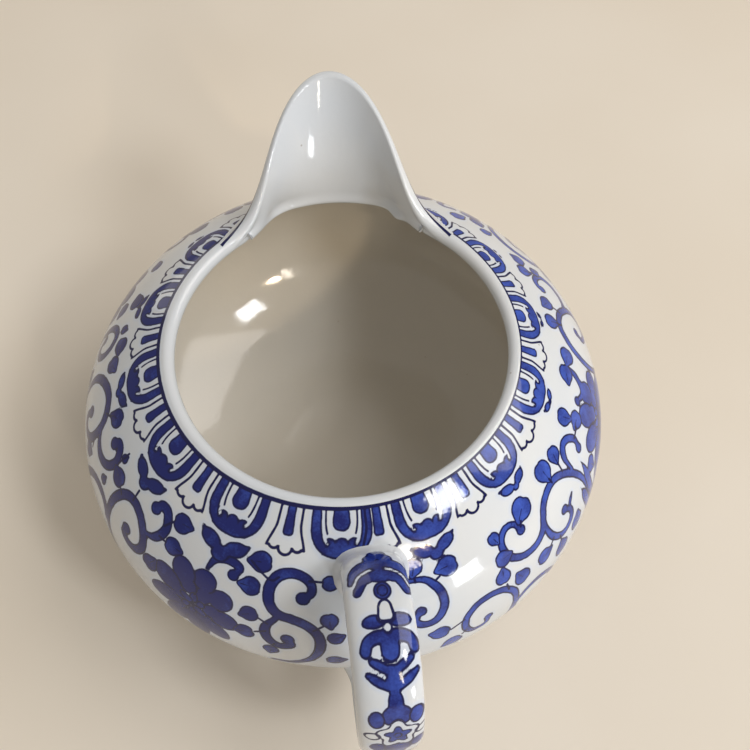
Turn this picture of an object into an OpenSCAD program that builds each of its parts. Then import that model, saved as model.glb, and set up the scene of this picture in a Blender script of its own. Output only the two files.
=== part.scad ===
// Porcelain cream jug: a squat globe of a bowl on a low foot ring, with a tall beak of a spout luted over a
// throat cut in its lip, and an ear-shaped strap handle opposite.
// Millimetres, +Z up. The origin is the centre of the resting face. The spout points along +Y.

/* [Bowl] */
// Widest diameter of the bowl
body_d = 96; // [90:1:104]
// Height of the widest part above the table
belly_z = 25; // [24:0.5:26]
// Height from the widest part to where the shoulder would close
shoulder_rise = 31; // [30:0.5:33]
// Fullness of the shoulder, where 2 is a plain ellipse
shoulder_fullness = 2.15; // [2:0.05:2.4]
// Depth from the widest part to where the belly would close
belly_drop = 25.6; // [25.2:0.2:27]
// Height of the lip where the glazed wall ends
lip_z = 50; // [48:0.5:51]
// Thickness of the wall
wall = 2.7; // [2.2:0.1:3.2]
// Height of the floor inside the bowl
floor_z = 6.2; // [5.8:0.1:7]

/* [Foot] */
// Height of the bowl's underside above the table
base_z = 3; // [2.4:0.2:3.4]
// Radius of the inner edge of the resting land
land_inner_r = 24.6; // [24:0.2:25]
// Radius of the outer edge of the resting land
land_outer_r = 26.3; // [25.8:0.1:26.8]

/* [Spout] */
// Distance of the spout's tip from the bowl's axis
tip_reach = 47.7; // [44:0.5:52]
// Height of the spout's tip above the table
tip_z = 66; // [61:0.5:72]
// Radius of the rounded edge at the spout's tip
tip_edge_r = 1.1; // [0.8:0.05:1.3]
// Angle either side of the front at which the lip begins to rise
spout_half_angle = 45; // [42:1:48]
// Radius of the round throat cut through the shoulder
throat_r = 19.5; // [18.5:0.25:20]
// Distance of the throat's centre from the bowl's axis
throat_y = 14.5; // [13.5:0.25:15]
// How far the bead of slip stands proud of the cut throat
seam_bead = 1.1; // [0.8:0.1:1.4]

/* [Handle] */
// Width of the strap where it leaves the shoulder
strap_w = 9.3; // [8:0.1:11]
// Extra width of the strap where it is widest
strap_swell = 0.7; // [0:0.1:1.5]
// Thickness of the strap
strap_t = 5; // [4:0.1:6]
// Angle by which the hand-set strap sits off the line opposite the spout
handle_turn = 4; // [-5:0.5:5]
// Distance of the strap's outermost point from the bowl's axis
handle_reach = 64.5; // [62:0.5:68]

/* [Hidden] */
$fn = 144;
PORCELAIN = [0.93, 0.94, 0.95];
UNGLAZED = [0.86, 0.83, 0.77];
COBALT_PRINT = [0.42, 0.5, 0.78];

body_r = body_d / 2;
nose_r = wall / 2;

// ---- Profile of the bowl, as [radius, height] points and outward normals -------------------------------

// A point of the shoulder, from 0 degrees at the widest part up to 90 at the axis
function shoulder_point(t) = [body_r * pow(cos(t), 2 / shoulder_fullness),
                              belly_z + shoulder_rise * pow(sin(t), 2 / shoulder_fullness)];
// A point of the belly, from 0 degrees at the widest part down to 90 at the axis
function belly_point(t) = [body_r * cos(t), belly_z - belly_drop * sin(t)];

function unit(v) = v / norm(v);
function shoulder_normal(p) = unit([pow(p[0] / body_r, shoulder_fullness - 1) / body_r,
                                    pow((p[1] - belly_z) / shoulder_rise, shoulder_fullness - 1) / shoulder_rise]);
function belly_normal(p) = unit([p[0] / pow(body_r, 2), (p[1] - belly_z) / pow(belly_drop, 2)]);

lip_t = asin(pow((lip_z - belly_z) / shoulder_rise, shoulder_fullness / 2));
seat_t = asin((belly_z - base_z) / belly_drop);
PROFILE_STEPS = 22;

belly_outer = [for (i = [0 : PROFILE_STEPS - 1]) belly_point(seat_t * (1 - i / PROFILE_STEPS))];
shoulder_outer = [for (i = [0 : PROFILE_STEPS]) shoulder_point(lip_t * i / PROFILE_STEPS)];
outer_profile = concat(belly_outer, shoulder_outer);

inner_wall = concat([for (p = belly_outer) p - wall * belly_normal(p)],
                    [for (p = shoulder_outer) p - wall * shoulder_normal(p)]);
// Where the flat floor meets the wall, across a small bevel
FLOOR_BEVEL = 0.6;
inner_profile = [for (p = inner_wall) if (p[1] > floor_z + FLOOR_BEVEL / 2) p];
floor_r = inner_profile[0][0] - FLOOR_BEVEL;

// The lip is the wall's rounded end
lip_outer = outer_profile[len(outer_profile) - 1];
lip_normal = shoulder_normal(lip_outer);
lip_centre = lip_outer - nose_r * lip_normal;
LIP_STEPS = 10;
lip_angle = atan2(lip_normal[1], lip_normal[0]);
function arc(centre, r, from, to, steps) =
    [for (i = [0 : steps]) let (a = from + (to - from) * i / steps) centre + r * [cos(a), sin(a)]];
lip_arc = arc(lip_centre, nose_r, lip_angle, lip_angle + 180, LIP_STEPS);

// Upper surface of the bowl at a radius outside the lip's innermost point
bowl_top = concat(arc(lip_centre, nose_r, 180, lip_angle, LIP_STEPS),
                  [for (i = [PROFILE_STEPS - 1 : -1 : 0]) shoulder_outer[i]]);
function top_z(r) = lookup(r, bowl_top);
// Under surface of the overhanging shoulder at a radius
bowl_under = concat(arc(lip_centre, nose_r, 180, lip_angle + 180, 4),
                    [for (i = [len(inner_wall) - 2 : -1 : PROFILE_STEPS]) inner_wall[i]]);
function under_z(r) = lookup(r, bowl_under);

function reversed(list) = [for (i = [len(list) - 1 : -1 : 0]) list[i]];

module body_shell() {
    color(PORCELAIN)
    difference() {
        rotate_extrude()
            polygon(concat([[0, base_z]], outer_profile, [for (i = [1 : LIP_STEPS - 1]) lip_arc[i]],
                           reversed(inner_profile), [[floor_r, floor_z], [0, floor_z]]));
        // The throat, cut through the shoulder before the spout is luted on
        translate([0, throat_y, lip_z - 8])
            cylinder(r = throat_r, h = 16);
    }
}

// ---- Foot ring -------------------------------------------------------------------------------------------

foot_outer_r = land_outer_r + 1.5;
foot_seat = [for (p = belly_outer) if (p[0] < foot_outer_r) p];
function belly_z_at(r) = belly_z - belly_drop * sqrt(1 - pow(r / body_r, 2));

module foot_ring() {
    color(UNGLAZED)
    rotate_extrude()
        polygon(concat([[land_inner_r - 1.2, base_z], [land_inner_r - 0.4, 0.5], [land_inner_r, 0],
                        [land_outer_r, 0], [land_outer_r + 0.5, 0.5],
                        [foot_outer_r, belly_z_at(foot_outer_r)]],
                       reversed(foot_seat)));
}

// ---- Lofted skins ----------------------------------------------------------------------------------------

// Side faces of a stack of rings, each ring being the same number of points in the same order
function skin_faces(rings, n) =
    [for (k = [0 : rings - 2], i = [0 : n - 1], half = [0, 1])
        let (a = k * n + i, b = k * n + (i + 1) % n)
        half == 0 ? [a, b, b + n] : [a, b + n, a + n]];
// Closing faces at the first and last ring
function first_cap(n) = [[for (i = [n - 1 : -1 : 0]) i]];
function last_cap(rings, n) = [[for (i = [0 : n - 1]) (rings - 1) * n + i]];

module loft(rings) {
    n = len(rings[0]);
    polyhedron(points = [for (ring = rings) for (p = ring) p],
               faces = concat(skin_faces(len(rings), n), first_cap(n), last_cap(len(rings), n)));
}

// Quadratic and cubic Bezier curves
function bez2(a, b, c, t) = (1 - t) * (1 - t) * a + 2 * t * (1 - t) * b + t * t * c;
function bez3(p, t) = pow(1 - t, 3) * p[0] + 3 * t * pow(1 - t, 2) * p[1] + 3 * t * t * (1 - t) * p[2]
                      + pow(t, 3) * p[3];
function direction(angle) = [cos(angle), sin(angle)];

// ---- Spout -----------------------------------------------------------------------------------------------

// The rim's rise: 1 at the front, falling to 0 where the spout's edge runs into the lip
function rise(a) = pow(cos(90 * a / spout_half_angle), 2);
// Centre of the rounded edge at an angle off the front
EDGE_REACH_POWER = 2.4;
EDGE_HEIGHT_POWER = 1.25;
edge_tip = [tip_reach - tip_edge_r, tip_z - tip_edge_r];
function edge_centre(a) = [lip_centre[0] + (edge_tip[0] - lip_centre[0]) * pow(rise(a), EDGE_REACH_POWER),
                           lip_centre[1] + (edge_tip[1] - lip_centre[1]) * pow(rise(a), EDGE_HEIGHT_POWER)];
// Radius of the rounded edge, thinning towards the tip
function edge_r(a) = nose_r + (tip_edge_r - nose_r) * rise(a);
// Direction in which the wall's edge points: in over the mouth at the lip, out at the tip
LIP_LEAN = lip_angle + 90;
TIP_LEAN = 52;
function edge_lean(a) = LIP_LEAN + (TIP_LEAN - LIP_LEAN) * pow(rise(a), 0.5);
// Radius of the cut throat at an angle off the front, but not inside the lip
lip_inner_r = lip_centre[0] - nose_r + 0.02;
function throat_radius(a) =
    max(lip_inner_r, throat_y * cos(a) + sqrt(pow(throat_r, 2) - pow(throat_y * sin(a), 2)));
// Radius at which the spout's outside dies into the shoulder
ROOT_SPREAD = 8.8;
function root_radius(a) = lip_outer[0] + 0.25 + ROOT_SPREAD * pow(rise(a), 0.7);

SEAT_STEPS = 5;
WALL_STEPS = 7;
EDGE_STEPS = 4;
// One section of the spout: the seat on the shoulder, the outside, the round edge, the trough
function spout_section(a) =
    let (r0 = throat_radius(a), r1 = root_radius(a), c = edge_centre(a), e = edge_r(a), lean = edge_lean(a),
         along = direction(lean), across = direction(lean - 90),
         inner_foot = [r0, top_z(r0)], outer_foot = [r1, top_z(r1)],
         inner_edge = c - e * across, outer_edge = c + e * across,
         reach = norm(outer_edge - outer_foot), fall = norm(inner_edge - inner_foot))
    concat([for (i = [0 : SEAT_STEPS]) let (r = r0 + (r1 - r0) * i / SEAT_STEPS) [r, top_z(r)]],
           [for (i = [1 : WALL_STEPS]) bez2(outer_foot, outer_edge - 0.7 * reach * along, outer_edge,
                                           i / WALL_STEPS)],
           [for (i = [1 : EDGE_STEPS]) c + e * direction(lean - 90 + 180 * i / EDGE_STEPS)],
           [for (i = [1 : WALL_STEPS - 1]) bez2(inner_edge, inner_edge - 0.55 * fall * along, inner_foot,
                                               i / WALL_STEPS)]);
// A point [radius, height] at an angle off the front, turned clockwise seen from above
function at_angle(p, a) = [p[0] * sin(a), p[0] * cos(a), p[1]];

SPOUT_END = spout_half_angle - 5;
SPOUT_STEPS = 26;
spout_angles = [for (i = [0 : SPOUT_STEPS]) SPOUT_END * (2 * i / SPOUT_STEPS - 1)];

module spout() {
    color(PORCELAIN)
        loft([for (a = reversed(spout_angles)) [for (p = spout_section(a)) at_angle(p, a)]]);
}

// The bead of slip that rounds over the cut edge of the throat
BEAD_STEPS = 8;
SEAM_END = 37;
seam_angles = [for (i = [0 : SPOUT_STEPS]) SEAM_END * (2 * i / SPOUT_STEPS - 1)];
function seam_section(a) =
    let (r = throat_radius(a), high = top_z(r), low = under_z(r), mid = (high + low) / 2,
         proud = seam_bead * pow(cos(90 * a / (SEAM_END + 4)), 0.5))
    [for (i = [0 : BEAD_STEPS]) let (t = 180 * i / BEAD_STEPS)
        [r - proud * sin(t), mid + (high - low) / 2 * cos(t)]];

module spout_seam() {
    color(PORCELAIN)
        loft([for (a = reversed(seam_angles)) [for (p = seam_section(a)) at_angle(p, a)]]);
}

// ---- Handle ----------------------------------------------------------------------------------------------

// The strap's centre line as [distance from the axis, height]: straight up off the shoulder and over, then
// down and back in to the belly
UPPER_ROOT_R = 38.6;
shoulder_root = [UPPER_ROOT_R, top_z(UPPER_ROOT_R)];
turn = [handle_reach - strap_t / 2, 38];
belly_root = [46.4, 18.4];
upper_run = [shoulder_root, [UPPER_ROOT_R + 1.4, lip_z + 4.5], turn + [-1, 20], turn];
lower_run = [turn, turn - [0, 14], belly_root + [8.6, -2.9], belly_root];
function strap_centre(t) = t < 0.5 ? bez3(upper_run, 2 * t) : bez3(lower_run, 2 * t - 1);
function strap_direction(t) = unit(strap_centre(min(t + 0.002, 1)) - strap_centre(max(t - 0.002, 0)));
function strap_width(t) = strap_w + strap_swell * sin(180 * pow(t, 0.6));

STRAP_SIDES = 24;
ROUNDNESS = 2.5;
// A signed power, for the rounded-rectangle section
function spow(v, e) = sign(v) * pow(abs(v), e);
function strap_section(t, flare = 1) =
    let (c = strap_centre(t), d = strap_direction(t), n = [-d[1], d[0]])
    [for (i = [0 : STRAP_SIDES - 1]) let (q = 360 * i / STRAP_SIDES,
            side = flare * strap_width(t) / 2 * spow(cos(q), 2 / ROUNDNESS),
            lift = flare * strap_t / 2 * spow(sin(q), 2 / ROUNDNESS),
            p = c + lift * n)
        [side, -p[0], p[1]]];

// Stretch of the strap's line that is strap, between the two slip joints
UPPER_END = 0.05;
LOWER_END = 0.94;
STRAP_RINGS = 44;

module handle() {
    color(COBALT_PRINT)
    rotate([0, 0, handle_turn])
        loft([for (k = [STRAP_RINGS : -1 : 0])
            strap_section(UPPER_END + (LOWER_END - UPPER_END) * k / STRAP_RINGS)]);
}

// Footprints of the two joints on the bowl, scaled about their centres by s
UPPER_FOOTPRINT = [6.1, 4.3];
LOWER_FOOTPRINT = [5.9, 4.3];
function upper_footprint(s) =
    [for (i = [0 : STRAP_SIDES - 1]) let (q = 360 * i / STRAP_SIDES,
            x = s * UPPER_FOOTPRINT[0] * spow(cos(q), 0.9),
            y = UPPER_ROOT_R - s * UPPER_FOOTPRINT[1] * spow(sin(q), 0.9))
        [x, -y, top_z(norm([x, y]))]];
function lower_footprint(s) =
    [for (i = [0 : STRAP_SIDES - 1]) let (q = 360 * i / STRAP_SIDES,
            x = s * LOWER_FOOTPRINT[0] * spow(cos(q), 0.9),
            z = belly_root[1] - s * LOWER_FOOTPRINT[1] * spow(sin(q), 0.9),
            r = body_r * sqrt(1 - pow((belly_z - z) / belly_drop, 2)))
        [x, -sqrt(r * r - x * x), z]];
function blend(a, b, s) = [for (i = [0 : len(a) - 1]) a[i] * (1 - s) + b[i] * s];

JOINT_RINGS = 5;
// Rings from the strap's end, flaring on to the footprint, and in across it
function joint_rings(end_t, root_t, footprint_rings) =
    concat([for (k = [0 : JOINT_RINGS - 1]) let (s = k / JOINT_RINGS)
               blend(strap_section(end_t + (root_t - end_t) * s, 1 + 0.25 * s * s), footprint_rings[0],
                     pow(s, 2.2))],
           footprint_rings);
INWARD = [1, 0.6, 0.2];

module handle_upper_joint() {
    color(PORCELAIN)
    rotate([0, 0, handle_turn])
        loft(joint_rings(UPPER_END, 0, [for (s = INWARD) upper_footprint(s)]));
}

module handle_lower_joint() {
    color(PORCELAIN)
    rotate([0, 0, handle_turn])
        loft(reversed(joint_rings(LOWER_END, 1, [for (s = INWARD) lower_footprint(s)])));
}

body_shell();
foot_ring();
spout();
spout_seam();
handle();
handle_upper_joint();
handle_lower_joint();
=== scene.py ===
"""Looks of a porcelain cream jug with an underglaze blue print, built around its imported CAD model.

Lengths are in millimetres until a mesh is made. +Z is up, and the spout points along +Y. An azimuth is
an angle from the spout, clockwise as seen from above. A bearing is an angle from the handle, growing to
the right for a viewer who has the handle towards them; the blue print is laid out in bearings.
"""

import math

import bpy
import numpy as np
from mathutils import Matrix, Vector


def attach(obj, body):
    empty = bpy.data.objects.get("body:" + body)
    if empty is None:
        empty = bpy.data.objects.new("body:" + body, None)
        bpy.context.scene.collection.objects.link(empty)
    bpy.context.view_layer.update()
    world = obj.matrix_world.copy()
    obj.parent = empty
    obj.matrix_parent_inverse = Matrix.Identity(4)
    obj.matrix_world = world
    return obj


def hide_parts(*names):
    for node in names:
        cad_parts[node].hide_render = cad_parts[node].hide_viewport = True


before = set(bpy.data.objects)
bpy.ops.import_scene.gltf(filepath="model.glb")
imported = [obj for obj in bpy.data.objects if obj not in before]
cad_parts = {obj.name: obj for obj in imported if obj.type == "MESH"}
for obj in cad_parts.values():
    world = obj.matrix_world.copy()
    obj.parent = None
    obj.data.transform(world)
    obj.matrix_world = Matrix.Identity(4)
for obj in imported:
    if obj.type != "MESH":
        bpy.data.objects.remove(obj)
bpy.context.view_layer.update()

MM = 0.001

# ---- Driving dimensions, as in the CAD model ---------------------------------------------------------

BODY_R = 48.0
BELLY_Z = 25.0  # height of the widest part
SHOULDER_RISE, FULLNESS = 31.0, 2.15
BELLY_DROP = 25.6
LIP_Z = 50.0
WALL = 2.7
NOSE_R = WALL / 2  # the lip is the wall's rounded end
FLOOR_Z, BASE_Z = 6.2, 3.0
LAND_INNER_R, LAND_OUTER_R = 24.6, 26.3

TIP_REACH, TIP_Z, TIP_EDGE_R = 47.7, 66.0, 1.1
SPOUT_HALF_ANGLE = 45.0
THROAT_R, THROAT_Y = 19.5, 14.5
SEAM_BEAD = 1.1

STRAP_W, STRAP_SWELL, STRAP_T = 9.3, 0.7, 5.0
HANDLE_TURN = 4.0
HANDLE_REACH = 64.5
HANDLE_AZIMUTH = 180.0 - HANDLE_TURN


def smoothstep(low, high, x):
    f = np.clip((x - low) / (high - low), 0, 1)
    return f * f * (3 - 2 * f)


def eased_above_zero(x, ease):
    """x where it is well above 0, and nearly 0 below, with the corner rounded over a length of about ease."""
    return (x + np.sqrt(x**2 + ease**2)) / 2


def arc_lengths(points):
    return np.concatenate([[0], np.cumsum(np.linalg.norm(np.diff(points, axis=0), axis=1))])


def along(points, lengths, distance):
    """Points of a polyline at distances along it."""
    return np.stack([np.interp(distance, lengths, points[:, k]) for k in range(points.shape[1])], -1)


def bezier(controls, t):
    """Points of a quadratic or cubic Bezier curve, whose controls may be arrays of points."""
    t = np.asarray(t)[..., None]
    n = len(controls) - 1
    return sum(math.comb(n, k) * (1 - t) ** (n - k) * t**k * c for k, c in enumerate(controls))


def unit(v):
    return v / np.maximum(np.linalg.norm(v, axis=-1, keepdims=True), 1e-12)


def on_azimuth(profile_point, azimuth):
    """Places [radius, height] points at azimuths in degrees."""
    a = np.radians(azimuth)
    r, z = profile_point[..., 0], profile_point[..., 1]
    return np.stack([r * np.sin(a), r * np.cos(a), z + 0 * r], -1)


# ---- Profile of the bowl -----------------------------------------------------------------------------

PROFILE_POINTS = 400


def shoulder(t):
    return np.stack(
        [BODY_R * np.cos(t) ** (2 / FULLNESS), BELLY_Z + SHOULDER_RISE * np.sin(t) ** (2 / FULLNESS)], -1
    )


def belly(t):
    return np.stack([BODY_R * np.cos(t), BELLY_Z - BELLY_DROP * np.sin(t)], -1)


lip_t = math.asin(((LIP_Z - BELLY_Z) / SHOULDER_RISE) ** (FULLNESS / 2))
seat_t = math.asin((BELLY_Z - BASE_Z) / BELLY_DROP)

# The outside from the lip down to the foot, with its outward normals
outer = np.concatenate(
    [shoulder(np.linspace(lip_t, 0, PROFILE_POINTS)), belly(np.linspace(0, seat_t, PROFILE_POINTS))[1:]]
)
outer_s = arc_lengths(outer)
outer_tangent = unit(np.gradient(outer, outer_s, axis=0))
outer_normal = np.stack([-outer_tangent[:, 1], outer_tangent[:, 0]], -1)
OUTER_LENGTH = outer_s[-1]

# The inside from the lip down the wall, through a fillet, to the middle of the floor
FILLET = 7.0
inner_wall = outer - WALL * outer_normal
inner_wall = inner_wall[inner_wall[:, 1] > FLOOR_Z]
wall_q = arc_lengths(inner_wall)
corner = inner_wall[-1]
fillet_top = along(inner_wall, wall_q, wall_q[-1] - FILLET)
fillet_curve = bezier([fillet_top, corner, corner - [FILLET, 0]], np.linspace(0, 1, 30))
inner = np.concatenate([inner_wall[wall_q < wall_q[-1] - FILLET], fillet_curve, [[0, corner[1]]]])
inner_q = arc_lengths(inner)
INNER_LENGTH = inner_q[-1]

shoulder_r = outer[:PROFILE_POINTS, 0]
LIP_R = shoulder_r[0]


def shoulder_s(r):
    """Distance from the lip, down the outside, at which the shoulder has a radius."""
    return np.interp(r, shoulder_r, outer_s[:PROFILE_POINTS])


def shoulder_point(r):
    return along(outer, outer_s, shoulder_s(r))


THROAT_FLAT = 1.6  # how much further out than the CAD's round cut the throat's middle runs
THROAT_SET_BACK = 2.2  # how far the wall's end stays behind the throat's edge, under the sill
THROAT_EASE = 0.5  # rounds the corner between the throat's cut and the lip
# Azimuths either side of the front at which something ends, and nearer to it is there in full
THROAT_SPAN, THROAT_FLAT_SPAN, SET_BACK_SPAN, SILL_SPAN = (48, 34), (26, 13), (35, 27), (42, 33)


def throat_radius(azimuth):
    a = np.radians(azimuth)
    inside = np.maximum(THROAT_R**2 - (THROAT_Y * np.sin(a)) ** 2, 0)
    r = THROAT_Y * np.cos(a) + np.sqrt(inside)
    r += THROAT_FLAT * smoothstep(*THROAT_FLAT_SPAN, np.abs(azimuth))
    return np.where((inside > 0) & (np.cos(a) > 0), r, 0)


def mouth_radius(azimuth):
    """Radius of the mouth's edge on the shoulder: the throat's where that is cut, else the lip's."""
    return LIP_R + eased_above_zero(throat_radius(azimuth) - LIP_R, THROAT_EASE)


def wall_cut(azimuth):
    """How far down the outside the wall's rounded end lies: 0 at the lip, more where the throat is cut."""
    throat = shoulder_s(mouth_radius(azimuth))
    under_spout = THROAT_SET_BACK * smoothstep(*SET_BACK_SPAN, np.abs(azimuth))
    return throat * smoothstep(*THROAT_SPAN, np.abs(azimuth)) + under_spout


# ---- Meshes from surfaces ----------------------------------------------------------------------------


def bordered(mask, wrap):
    """A mask with one more cell all round, taken from its far side where the columns wrap."""
    padded = np.pad(mask, ((1, 1), (0, 0)), mode="wrap" if wrap else "constant")
    return np.pad(padded, ((0, 0), (1, 1)))


def spread(mask, wrap):
    """Grows a mask by one cell all round."""
    padded = bordered(mask, wrap)
    rows, columns = mask.shape
    return np.any([padded[i : i + rows, j : j + columns] for i in range(3) for j in range(3)], axis=0)


def halve(mask):
    return mask.repeat(2, 0).repeat(2, 1)


def refined_grid(columns, rows, levels, wrap, needs_split):
    """Cells of a grid, halved up to `levels` times where needs_split(column, row, size) says so.

    Cells that touch differ by one halving at most, and a cell beside smaller ones is cut into a fan, so the
    sheet has no open seams. Returns the corners of its quads and of its triangles, as [column, row] places.
    """
    split = []
    for level in range(levels):
        alive = halve(split[-1]) if split else np.ones((columns, rows), bool)
        i, j = np.nonzero(alive)
        size = 0.5**level
        chosen = needs_split((i + 0.5) * size, (j + 0.5) * size, size)
        split.append(np.zeros(alive.shape, bool))
        split[-1][i[chosen], j[chosen]] = True
    for level in range(levels - 1, 0, -1):
        near = spread(split[level], wrap)
        split[level - 1] |= near.reshape(near.shape[0] // 2, 2, near.shape[1] // 2, 2).any(axis=(1, 3))

    quads, triangles = [], []
    for level in range(levels + 1):
        alive = halve(split[level - 1]) if level else np.ones((columns, rows), bool)
        finer = split[level] if level < levels else np.zeros(alive.shape, bool)
        i, j = np.nonzero(alive & ~finer)
        size = 0.5**level
        corners = np.array([[0, 0], [1, 0], [1, 1], [0, 1]]) * size
        origin = np.stack([i, j], -1) * size
        padded = bordered(finer, wrap)
        # Whether the cell below, right, above and left is smaller
        sides = np.stack([padded[i + 1, j], padded[i + 2, j + 1], padded[i + 1, j + 2], padded[i, j + 1]], -1)
        plain = ~sides.any(axis=1)
        quads.append(origin[plain][:, None] + corners)
        for side in range(4):
            a, b = corners[side], corners[(side + 1) % 4]
            centre, middle = corners.mean(axis=0), (corners[side] + corners[(side + 1) % 4]) / 2
            whole = origin[~plain & ~sides[:, side]][:, None]
            halved = origin[~plain & sides[:, side]][:, None]
            triangles += [whole + [a, b, centre], halved + [a, middle, centre], halved + [middle, b, centre]]
    return np.concatenate(quads), np.concatenate(triangles)


NORMAL_STEP = 0.02  # share of a cell over which a surface's slope is taken


def skin(
    name, surface, columns, rows, wrap=False, levels=0, needs_split=None, fields=None, close="", bake=None
):
    """A mesh of surface(column, row), with smooth normals taken from the surface itself.

    fields(column, row) gives named values kept on the points. close says which open sides get faces: "caps"
    at the first and last row, "rows" between those two, with caps at the first and last column.
    bake(column, row, face_column, face_row) gives each corner's place in the baked map."""
    quads, triangles = refined_grid(columns, rows, levels, wrap, needs_split)
    corners = np.concatenate([quads.reshape(-1, 2), triangles.reshape(-1, 2)])
    sizes = [4] * len(quads) + [3] * len(triangles)
    finest = 2 << levels
    keys = np.rint(corners * finest).astype(np.int64)
    if wrap:
        keys[:, 0] %= columns * finest
    order, index = np.unique(keys[:, 0] * (rows * finest + 1) + keys[:, 1], return_inverse=True)
    column, row = (order // (rows * finest + 1)) / finest, (order % (rows * finest + 1)) / finest

    points = surface(column, row)
    left, right = column - NORMAL_STEP, column + NORMAL_STEP
    if not wrap:
        left, right = np.maximum(left, 0), np.minimum(right, columns)
    low, high = np.maximum(row - NORMAL_STEP, 0), np.minimum(row + NORMAL_STEP, rows)
    sideways, upward = surface(right, row) - surface(left, row), surface(column, high) - surface(column, low)
    normals = unit(np.cross(sideways, upward))

    starts = np.concatenate([[0], np.cumsum(sizes)])
    faces = [index[starts[k] : starts[k + 1]].tolist() for k in range(len(sizes))]
    at = {(c, r): k for k, (c, r) in enumerate(zip(column.tolist(), row.tolist()))}
    first, last = ([at[c, r] for c in range(columns + (not wrap))] for r in (0, rows))
    if close == "caps":
        faces += [first[::-1], last]
    elif close == "rows":
        faces += [[last[c], last[c + 1], first[c + 1], first[c]] for c in range(columns)]
        faces += [[at[0, r] for r in range(rows + 1)], [at[columns, r] for r in range(rows, -1, -1)]]
    a, b, c = (points[index[starts[:-1] + k]] for k in range(3))
    inside_out = np.einsum("ij,ij->i", a - points.mean(0), np.cross(b - a, c - a)).sum() < 0
    if inside_out:
        faces = [face[::-1] for face in faces]
        normals = -normals

    mesh = bpy.data.meshes.new(name)
    mesh.from_pydata((points * MM).tolist(), [], faces)
    mesh.polygons.foreach_set("use_smooth", np.ones(len(faces), bool))
    mesh.normals_split_custom_set_from_vertices(normals.tolist())
    for field, values in (fields(column, row) if fields else {}).items():
        mesh.attributes.new(field, "FLOAT", "POINT").data.foreach_set("value", values.astype(np.float32))
    if bake:
        layout = mesh.uv_layers.new(name="OFBake")
        uv = np.zeros((len(mesh.loops), 2))
        begin = 0
        for face_size, face_count in ((4, len(quads)), (3, len(triangles))):
            block = corners[begin : begin + face_size * face_count].reshape(face_count, face_size, 2)
            middle = block.mean(axis=1, keepdims=True) + 0 * block
            laid = bake(block[..., 0], block[..., 1], middle[..., 0], middle[..., 1])
            if inside_out:
                laid = laid[:, ::-1]
            uv[begin : begin + face_size * face_count] = laid.reshape(-1, 2)
            begin += face_size * face_count
        if close == "caps":
            turn = np.arange(columns)
            for ring, inward, way in ((0, 0.5, -1), (rows, -0.5, 1)):
                laid = bake(turn, ring + 0.0 * turn, turn + 0.5, ring + inward + 0.0 * turn)
                uv[begin : begin + columns] = laid[:: -way if inside_out else way]
                begin += columns
        layout.data.foreach_set("uv", uv.ravel())
    obj = bpy.data.objects.new(name, mesh)
    bpy.context.scene.collection.objects.link(obj)
    return obj


# ---- The blue print ----------------------------------------------------------------------------------


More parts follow.
